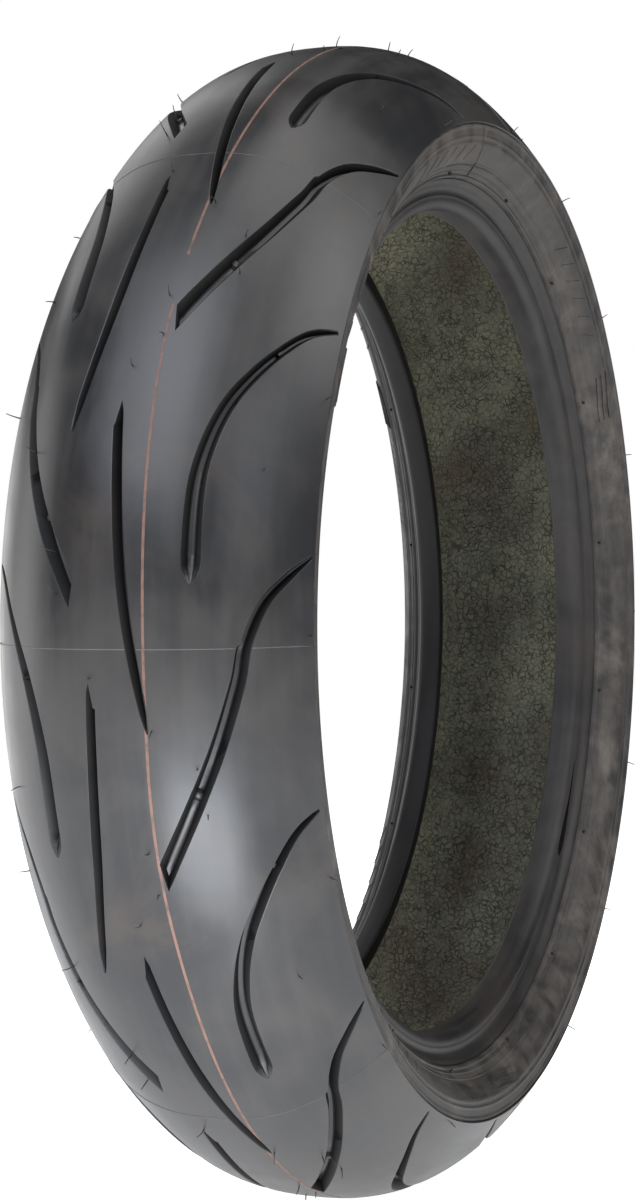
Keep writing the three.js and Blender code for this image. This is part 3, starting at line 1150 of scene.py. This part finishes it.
@dataclass
class Sidewall:
    """The flexing rubber from the tread's edge down to the rim line, with its moulded relief."""

    side: Side
    steps: int = 300

    # Three wide bars above each other, with rows of fine ticks after them, where data is moulded.
    mark: RaisedBar = RaisedBar(8.0, 3.0, 10.0, 0.9, 5.0)
    mark_step: float = 4.2
    mark_places: tuple[float, ...] = (-96.0, 24.0, 144.0)
    tick: RaisedBar = RaisedBar(9.5, 1.7, 0.5, 0.25, 0.12)
    tick_rows: int = 4
    row_step: float = 2.7
    ticks: int = 24
    ticks_after: float = 9.0
    tick_step: float = 0.55
    # Runs of low wide blocks along the middle of the wall.
    wide: RaisedBar = RaisedBar(10.0, 8.5, 2.6, 0.5, -1.6)
    wide_in_run: int = 6
    wide_step: float = 3.4
    wide_places: tuple[float, ...] = (33.0, 64.0, 120.0, 215.0, 300.0)
    # The line that the mould plate's joint leaves.
    seam: RaisedBar = RaisedBar(1.2, 30.8, 0.4, 0.35, 3.5)
    seam_place: float = 82.5

    line: tuple[SectionPoint, ...] = (
        (77.4, 261.6), (75.5, 253.2), (72.4, 247.2), (68.6, 242.4), (64.1, 238.3), (59.5, 234.3)
    )
    under: tuple[SectionPoint, ...] = (
        (56.4, 237.6), (61.6, 243.2), (68.4, 249.6), (71.6, 255.4), (71.0, 261.0), (74.5, 260.6)
    )
    piece: Object = field(init=False)
    relief: Object = field(init=False)

    # Height of the moulded steps and ribs, by distance down the wall, in millimetres.
    ribs: tuple[SectionPoint, ...] = (
        (0.0, -0.8), (0.7, -1.2), (1.3, 0.15), (2.2, 0.15), (2.5, -0.1), (5.0, -0.1), (5.3, 0.12),
        (5.7, 0.12), (6.0, -0.1), (7.6, -0.1), (7.9, 0.1), (20.4, 0.1), (20.7, -0.15),
        (22.2, -0.15), (22.5, 0.2), (23.1, 0.2), (23.4, -0.1), (26.8, -0.1), (27.1, 0.2),
        (27.7, 0.2), (28.0, -0.15), (29.6, -0.15), (30.2, 0.75), (31.3, 0.85), (32.2, 0.5),
        (33.2, -0.2), (34.0, -0.2),
    )

    @property
    def length(self) -> float:
        """Distance down the wall, from the tread's edge to the rim line."""
        return sum(math.dist(a, b) for a, b in zip(self.line, self.line[1:]))

    def surface(self, down: float, lift: float = 0.0) -> SectionPoint:
        """A point of the wall's section, on the left.

        Args:
            down: Distance down the wall from the tread's edge.
            lift: Distance out of the wall.

        Returns:
            The point, with no ribs.
        """
        share = down / self.length
        here = smooth_curve(self.line, share)
        before = smooth_curve(self.line, share - 0.01)
        after = smooth_curve(self.line, share + 0.01)
        run, rise = after[0] - before[0], after[1] - before[1]
        size = math.hypot(run, rise)
        return here[0] - rise / size * lift, here[1] + run / size * lift

    def place(self, angle: float, down: float, lift: float) -> Vector:
        """A point on the wall in space, on this side, in metres."""
        y, r = self.surface(down, lift)
        return Vector((r * math.cos(angle), y * self.side.value, r * math.sin(angle))) * MM

    def section(self) -> list[SectionPoint]:
        """The wall's closed section, on this side."""
        stops = {round(place, 2) for place, _ in self.ribs if place < self.length}
        stops |= {round(self.length * i / 30, 2) for i in range(31)}
        outside = [self.surface(down, between(self.ribs, down)) for down in sorted(stops)]
        return [(y * self.side.value, r) for y, r in outside + list(self.under)]

    def build(self) -> None:
        """Turns the wall and lays the relief on it."""
        self.piece = ring_of(f"sidewall_moulded_{self.side.word}", self.section(), self.steps)
        sharpen(self.piece, 50)
        bm = bmesh.new()
        for place in self.mark_places:
            for row in range(3):
                self.bar(bm, place, self.mark, self.mark_step * row)
            self.lay_ticks(bm, place + self.ticks_after)
        for place in self.wide_places:
            for block in range(self.wide_in_run):
                self.bar(bm, place + block * self.wide_step, self.wide)
        self.bar(bm, self.seam_place, self.seam)
        self.relief = make_object(f"sidewall_relief_{self.side.word}", bm)
        sharpen(self.relief, 40)

    def lay_ticks(self, bm: BMesh, degrees: float) -> None:
        """Lays the rows of fine ticks, which lean to and fro in turn."""
        for row in range(self.tick_rows):
            for number in range(self.ticks):
                leaning = replace(self.tick, slant=self.tick.slant * (-1) ** number)
                self.bar(bm, degrees + number * self.tick_step, leaning, row * self.row_step)

    def bar(self, bm: BMesh, degrees: float, shape: RaisedBar, lower: float = 0.0) -> None:
        """Lays one raised bar down the wall.

        Args:
            bm: Where the bar is added.
            degrees: Angle of its upper end, up from the front.
            shape: Its sizes.
            lower: How much further down the wall than its shape says.
        """
        top, bottom = shape.top + lower, shape.top + shape.length + lower
        middle_radius = 248.0

        def move(point: Vector) -> Vector:
            """Takes a corner of the straight bar to its place on the wall."""
            aside, up = point.x + point.y, point.y - point.x
            share = (1 - point.z) / 2
            narrowed = 0.75 if up > 0 else 1.0
            sway = aside * narrowed * shape.width / 2 / middle_radius
            turn = math.radians(degrees + shape.slant * share) + sway
            lift = shape.height if up > 0 else -0.4
            return self.place(turn, top + (bottom - top) * share, lift)

        add_bent_bar(bm, 4, max(round((bottom - top) / 2), 1), move)

    def dress(self) -> None:
        """Gives the wall its rubber and fixes it to the tyre."""
        # The right side gets the darker copy of the rubber, painted shade.
        finish = SIDEWALL_RUBBER if self.side is Side.LEFT else SHADED_SIDEWALL_RUBBER
        rubber = finish.make()
        fit_piece(self.piece, rubber, "sidewall_rubber", f"sidewall_{self.side.word}")
        fit_piece(self.relief, rubber, "sidewall_rubber")


@dataclass(frozen=True)
class Dent:
    """A long shallow dent, wider towards its far end, in degrees round the tyre and millimetres."""

    start: float = 203.0
    end: float = 219.5
    across: float = 54.0
    out: float = 225.2
    depth: float = 1.8
    shallowest: float = 0.15  # what counts as inside the dent
    # Half width by place along it, from -1 to 1.
    half_width: tuple[SectionPoint, ...] = (
        (-1, 0.3), (-0.2, 1.3), (0.3, 3.0), (0.8, 3.3), (1, 1.6)
    )


@dataclass
class RimCushion:
    """The hard rubber that grips the wheel: flange face, heel, tapered seat and toe."""

    side: Side
    steps: int = 300
    # Down the flange face, round the heel, along the seat and up the toe.
    outline: tuple[SectionPoint, ...] = (
        (59.22, 234.05), (58.5, 232.8), (57.5, 231.75), (56.4, 230.95), (55.3, 230.2),
        (54.55, 229.2), (54.1, 228.0), (54.0, 226.4), (54.14, 226.2), (54.14, 225.8),
        (54.0, 225.6), (53.95, 224.0), (53.6, 222.4), (52.6, 220.6), (51.2, 219.3),
        (49.5, 218.55), (45.0, 218.1), (40.4, 217.7), (39.7, 217.75), (39.2, 217.9),
        (38.8, 218.2), (38.55, 218.7), (38.45, 219.4), (38.8, 222.6), (39.3, 226.3),
    )
    heel: tuple[int, int] = (4, 14)  # where the heel starts and ends in the outline
    dent: Dent = Dent()
    pip_count: int = 16
    pip_start: float = 11.0
    pip_down: float = 28.8
    pip_height: float = 1.8
    piece: Object = field(init=False)
    pips: Object = field(init=False)

    def build(self) -> None:
        """Turns the cushion, and stands a ring of clipped vent stubs above it."""
        bm = cad_outline(f"rim_cushion_{self.side.word}")
        inside = [(abs(v.co.y) / MM, v.co.z / MM) for v in self.inner_points(bm)]
        bm.free()
        section = [(y * self.side.value, r) for y, r in [*self.outline, *inside]]
        self.piece = ring_of(f"rim_cushion_moulded_{self.side.word}", section, self.steps)
        if self.side is Side.LEFT:
            self.press_dent()
        sharpen(self.piece, 48)
        self.build_pips()

    def press_dent(self) -> None:
        """Presses the long dent that a demoulding tool leaves in the soft heel of the left bead."""
        dent = self.dent
        bm = bmesh.new()

        def move(point: Vector) -> Vector:
            """Takes a corner of the straight bar to its place along the heel."""
            turn = math.radians(between(((-1, dent.start), (1, dent.end)), point.z))
            across = dent.across + point.y * dent.depth
            out = dent.out + point.x * between(dent.half_width, point.z)
            return Vector((out * math.cos(turn), across, out * math.sin(turn))) * MM

        add_bent_bar(bm, 8, 24, move)
        tool = make_object("dent_tool", bm)
        carve(self.piece, tool)
        bpy.data.objects.remove(tool)
        self.mark_dent()

    def mark_dent(self) -> None:
        """Paints shade on the dent's faces, which are those behind the heel's outline."""
        dent, about = self.dent, 1.0
        shade = self.piece.data.attributes.new("painted_recess_shade", "FLOAT", "CORNER")
        heel = [(r, y) for y, r in reversed(self.outline[slice(*self.heel)])]
        for face in self.piece.data.polygons:
            out = math.hypot(face.center.x, face.center.z) / MM
            turn = math.degrees(math.atan2(face.center.z, face.center.x)) % 360
            across = face.center.y / MM
            behind = dent.across - 2 < across < between(heel, out) - dent.shallowest
            along = dent.start - about < turn < dent.end + about
            if behind and along and heel[0][0] < out < heel[-1][0]:
                for index in face.loop_indices:
                    shade.data[index].value = 1.0

    def inner_points(self, bm: BMesh) -> list[BMVert]:
        """The CAD outline's corners that face the bead core, in order from the air side.

        Args:
            bm: The CAD outline.

        Returns:
            The corners, starting beside the toe's upper end.
        """
        (rim_y, rim_r), (toe_y, toe_r) = self.outline[0], self.outline[-1]

        def gap(vert: BMVert, y: float, r: float) -> float:
            """How far a corner is from a place in the section, in millimetres."""
            return math.dist((abs(vert.co.y) / MM, vert.co.z / MM), (y, r))

        start = min(bm.verts, key=lambda vert: gap(vert, toe_y, toe_r))
        edge = max(start.link_edges, key=lambda e: e.other_vert(start).co.z)
        ordered = [start]
        while gap(following := edge.other_vert(ordered[-1]), rim_y, rim_r) > 0.1:
            ordered.append(following)
            edge = next(e for e in following.link_edges if e is not edge)
        return ordered[1:]

    def build_pips(self) -> None:
        """Makes the clipped stubs of rubber that the vents leave above the rim line."""
        bm = bmesh.new()
        wall = Sidewall(self.side)
        for number in range(self.pip_count):
            turn = math.radians(self.pip_start + 360 / self.pip_count * number)
            base = wall.place(turn, self.pip_down, -0.2)
            tip = wall.place(turn, self.pip_down, self.pip_height)
            stub(bm, base, tip - base, 0.85, 0.7, Vector((0, 0, 0)))
        self.pips = make_object(f"vent_stubs_{self.side.word}", bm)

    def dress(self) -> None:
        """Gives the cushion its rubber and fixes it to the tyre."""
        # The right side gets the darker copy of the rubber, painted shade.
        finish = BEAD_RUBBER if self.side is Side.LEFT else SHADED_BEAD_RUBBER
        rubber = finish.make()
        fit_piece(self.piece, rubber, "bead_rubber", f"rim_cushion_{self.side.word}")
        fit_piece(self.pips, rubber, "bead_rubber")


def stub(bm: BMesh, base: Vector, reach: Vector, root: float, tip: float, bend: Vector) -> None:
    """Stands one six-sided whisker of rubber on a surface.

    Args:
        bm: Where the whisker is added.
        base: Its foot, in metres.
        reach: From foot to tip, in metres.
        root: Radius at the foot, in millimetres.
        tip: Radius at the tip, in millimetres.
        bend: How far the tip is pulled aside, in metres.
    """
    upright = reach.to_track_quat("Z", "Y")

    def move(point: Vector) -> Vector:
        """Takes a corner of the straight bar to its place on the whisker."""
        share = (point.z + 1) / 2
        radius = (root + (tip - root) * share) * MM
        aside = upright @ Vector((point.x * radius, point.y * radius, 0))
        return base + aside + reach * share + bend * share * share

    add_bent_bar(bm, 6, 3, move)


@dataclass
class VentHairs:
    """The rubber hairs that the mould's air vents leave on a new tyre."""

    # (pitch, y, length, lean round the tyre), the same in every pitch.
    pattern: tuple[tuple[float, float, float, float], ...] = (
        (0.79, 37.4, 4.0, 0.4), (0.705, 39.4, 4.5, -0.3), (0.641, 12.4, 4.5, 0.7),
        (0.562, 13.6, 3.0, -0.5), (0.95, -8.0, 6.0, 0.8), (0.86, 19.9, 5.5, -0.8),
        (0.17, -27.2, 7.5, 0.2), (0.095, -25.2, 6.0, 0.6), (0.51, 76.4, 5.0, 0.2),
        (0.02, 76.6, 4.0, -0.4), (0.49, -76.4, 5.0, 0.3), (0.0, -76.6, 5.5, -0.5),
        (0.33, 60.0, 3.5, 0.5), (0.36, -46.0, 6.5, 0.3), (0.72, -62.0, 4.0, -0.6),
        (0.5, 2.0, 6.0, 0.5),
    )
    root_radius: float = 0.34
    tip_radius: float = 0.2
    clear_of_floor: float = 13.0  # degrees either side of the lowest point
    piece: Object = field(init=False)

    def build(self) -> None:
        """Stands the hairs on the tread, except where it rests on the floor."""
        random.seed(17)
        bm = bmesh.new()
        for pitch in range(PITCHES.count):
            for share, y, length, lean in self.pattern:
                angle = PITCHES.angle(pitch + share)
                below = abs(math.degrees(angle) % 360 - 270)
                if below < self.clear_of_floor:
                    continue
                grown = length * random.uniform(0.7, 1.2)
                base = CROWN.place(angle, y, -0.2)
                reach = CROWN.place(angle, y, grown) - base
                round_ring = Vector((-math.sin(angle), 0, math.cos(angle)))
                aside = round_ring * lean + Vector((0, random.uniform(-0.5, 0.5), 0))
                bend = aside * grown * 0.6 * MM
                stub(bm, base, reach, self.root_radius, self.tip_radius, bend)
        self.piece = make_object("vent_hairs", bm)

    def dress(self) -> None:
        """Gives the hairs plain dull rubber and fixes them to the tyre."""
        fit_piece(self.piece, HIDDEN_RUBBER.make(), "tread_shoulder_rubber")


# ---- Inside ----------------------------------------------------------------------------------


@dataclass
class InnerLiner:
    """The airtight skin of the air side, with the pattern of the curing bladder."""

    steps: int = 360
    easing: float = 3.6
    piece: Object = field(init=False)

    def build(self) -> None:
        """Turns the liner from its CAD section, with the corners of the section eased."""
        bm = cad_outline("inner_liner")
        round_corners(bm, self.easing, 5)
        turn_ring(bm, self.steps)
        self.piece = make_object("inner_liner_pressed", bm)
        sharpen(self.piece, 50)

    def dress(self) -> None:
        """Gives the liner its finish and fixes it to the tyre."""
        fit_piece(self.piece, LINER.make(), "liner_rubber", "inner_liner")


@dataclass
class Carcass:
    """The layers that the outside rubber covers: belts, plies, bead cores and their fabric."""

    steps: int = 144
    # CAD node, slot and finish of the rings that go across the whole tyre.
    across: tuple[tuple[str, str, Finish], ...] = (
        ("tread_base", "hidden_rubber", HIDDEN_RUBBER),
        ("zero_degree_belt", "belt_cord", ARAMID_BELT),
        ("crossed_belt_outer", "belt_cord", ARAMID_BELT),
        ("crossed_belt_inner", "belt_cord", ARAMID_BELT),
        ("carcass_ply_outer", "carcass_cord", POLYESTER_PLY),
        ("carcass_ply_inner", "carcass_cord", POLYESTER_PLY),
    )
    # The same of the rings that each side has.
    each_side: tuple[tuple[str, str, Finish], ...] = (
        ("belt_edge_cushion", "hidden_rubber", HIDDEN_RUBBER),
        ("bead_wire", "bead_steel", BEAD_WIRE),
        ("bead_wrap", "carcass_cord", POLYESTER_PLY),
        ("bead_filler", "hidden_rubber", HIDDEN_RUBBER),
        ("chafer", "carcass_cord", POLYESTER_PLY),
    )
    rings: list[Object] = field(init=False)

    def rows(self) -> list[tuple[str, str, Finish]]:
        """Every ring's CAD node, slot and finish."""
        sided = [
            (f"{node}_{side.word}", slot, finish)
            for side in Side
            for node, slot, finish in self.each_side
        ]
        return [*self.across, *sided]

    def build(self) -> None:
        """Turns every ring round and true from its CAD section."""
        self.rings = []
        for node, _, _ in self.rows():
            bm = cad_outline(node)
            turn_ring(bm, self.steps)
            ring = make_object(f"{node}_turned", bm)
            sharpen(ring, 40)
            self.rings.append(ring)

    def dress(self) -> None:
        """Gives every ring its finish and fixes it to the tyre."""
        finishes = (HIDDEN_RUBBER, POLYESTER_PLY, ARAMID_BELT, BEAD_WIRE)
        materials = {finish.name: finish.make() for finish in finishes}
        for ring, (node, slot, finish) in zip(self.rings, self.rows()):
            fit_piece(ring, materials[finish.name], slot, node)


# ---- Studio ----------------------------------------------------------------------------------


@dataclass(frozen=True)
class SoftBox:
    """A square lamp behind white cloth."""

    name: str
    place: tuple[float, float, float]
    target: tuple[float, float, float]
    size: float
    power: float
    colour: str = "#ffffff"

    def build(self) -> None:
        """Hangs the lamp."""
        lamp = bpy.data.lights.new(self.name, "AREA")
        lamp.shape = "SQUARE"
        lamp.size = self.size
        lamp.energy = self.power
        lamp.color = linear(self.colour)[:3]
        stand = bpy.data.objects.new(self.name, lamp)
        stand.location = self.place
        aim = Vector(self.target) - Vector(self.place)
        stand.rotation_euler = aim.to_track_quat("-Z", "Y").to_euler()
        stand.visible_camera = False
        bpy.context.scene.collection.objects.link(stand)


@dataclass
class Studio:
    """A white sweep, soft lamps and the camera."""

    floor_level: float = -0.306
    floor_size: float = 30.0
    room: str = "#202020"
    lens: float = 69.62  # millimetres, on a sensor 36 mm wide
    camera_turn: float = 22.894  # degrees from the front towards the left
    camera_away: float = 1.2675  # metres, as the next two are
    camera_aside: float = -0.02877
    camera_up: float = 0.01142
    boxes: tuple[SoftBox, ...] = (
        SoftBox("front_box", (1.6, -0.2, 1.4), (0.0, 0.0, 0.0), 1.6, 38.0, "#edf3ff"),
        SoftBox("front_right_box", (1.3, 1.7, 0.9), (0.0, 0.0, 0.0), 1.0, 6.5, "#edf3ff"),
        SoftBox("top_box", (0.1, 0.5, 2.1), (0.0, 0.0, 0.0), 1.4, 13.0),
        SoftBox("right_box", (0.2, 1.8, 1.6), (0.0, 0.0, 0.0), 1.2, 9.0),
        SoftBox("left_low_box", (0.2, -2.0, 0.3), (0.0, 0.0, 0.0), 1.2, 8.0),
        SoftBox("left_back_box", (-0.9, -1.5, 1.5), (0.0, 0.0, 0.0), 1.4, 8.5),
        SoftBox("back_card", (-1.2, -1.6, -0.1), (0.0, -0.07, 0.0), 1.0, 6.0),
        SoftBox("air_side_box", (-0.1, 1.0, 0.9), (-0.2, 0.0, 0.0), 0.6, 2.4),
        SoftBox("low_card", (0.45, 0.1, -0.29), (0.27, 0.0, -0.15), 0.25, 1.9, "#f0f6ff"),
    )

    def build(self) -> None:
        """Sets up the floor, the lamps, the room light and the camera."""
        self.build_floor()
        for box in self.boxes:
            box.build()
        self.light_room()
        self.set_camera()

    def build_floor(self) -> None:
        """Lays the white floor, lit a little from below as a product table is."""
        bm = bmesh.new()
        bmesh.ops.create_grid(bm, x_segments=1, y_segments=1, size=self.floor_size / 2)
        bmesh.ops.translate(bm, verts=bm.verts, vec=(0, 0, self.floor_level))
        floor = make_object("studio_floor", bm)
        floor.data.materials.append(LitAcrylic().make())
        floor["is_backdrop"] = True

    def light_room(self) -> None:
        """Fills the room with plain grey light, behind a backdrop that shows white."""
        world = bpy.data.worlds.new("studio_room")
        bpy.context.scene.world = world
        world.use_nodes = True
        tree = world.node_tree
        tree.nodes.clear()
        seen = add_node(tree, "LightPath").outputs["Is Camera Ray"]
        room, backdrop = (
            add_node(tree, "Background", {"Color": linear(colour), "Strength": 1.0}).outputs[0]
            for colour in (self.room, "#ffffff")
        )
        mixed = add_node(tree, "MixShader", {0: seen, 1: room, 2: backdrop})
        add_node(tree, "OutputWorld", {"Surface": mixed.outputs[0]})
        bpy.context.scene.view_settings.view_transform = "Standard"

    def set_camera(self) -> None:
        """Stands the camera level with the axle, in front and to the left of the tyre."""
        lens = bpy.data.cameras.new("camera")
        lens.lens = self.lens
        lens.sensor_width = 36.0
        camera = bpy.data.objects.new("camera", lens)
        turn = math.radians(self.camera_turn)
        towards = Vector((math.cos(turn), math.sin(turn), 0))
        beside = Vector((-math.sin(turn), math.cos(turn), 0))
        above = Vector((0, 0, self.camera_up))
        camera.location = towards * self.camera_away + beside * self.camera_aside + above
        camera.rotation_euler = (-towards).to_track_quat("-Z", "Y").to_euler()
        bpy.context.scene.collection.objects.link(camera)
        bpy.context.scene.camera = camera


# ---- The tyre --------------------------------------------------------------------------------


def corners(box: tuple[Vector, Vector]) -> list[list[float]]:
    """A box's two corners as plain numbers."""
    return [[round(value, 6) for value in corner] for corner in box]


def main() -> None:
    """Builds the studio, then the tyre from the inside out."""
    logging.basicConfig(level=logging.INFO, format="%(name)s %(message)s")
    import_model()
    cad_box = corners(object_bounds())
    Studio().build()
    for layer in (Carcass(), InnerLiner()):
        layer.build()
        layer.dress()
    tools = GrooveTools().build()
    bands = [
        TreadBand("tread_centre_band", -48.2, 48.2, "tread_centre",
                  "tread_centre_rubber", TREAD_CENTRE),
        TreadBand("tread_shoulder_band_left", 48.2, 77.5, "tread_shoulder_left",
                  "tread_shoulder_rubber", TREAD_SHOULDER),
        TreadBand("tread_shoulder_band_right", -77.5, -48.2, "tread_shoulder_right",
                  "tread_shoulder_rubber", TREAD_SHOULDER),
    ]
    for band in [*bands, PaintedLine(), MouldFlash()]:
        band.build(tools)
        band.dress()
    bpy.data.objects.remove(tools)
    for side in Side:
        for part in (Sidewall(side), RimCushion(side)):
            part.build()
            part.dress()
    hairs = VentHairs()
    hairs.build()
    hairs.dress()
    {"cad": cad_box, "visual": corners(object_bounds())}


if __name__ == "__main__":
    main()
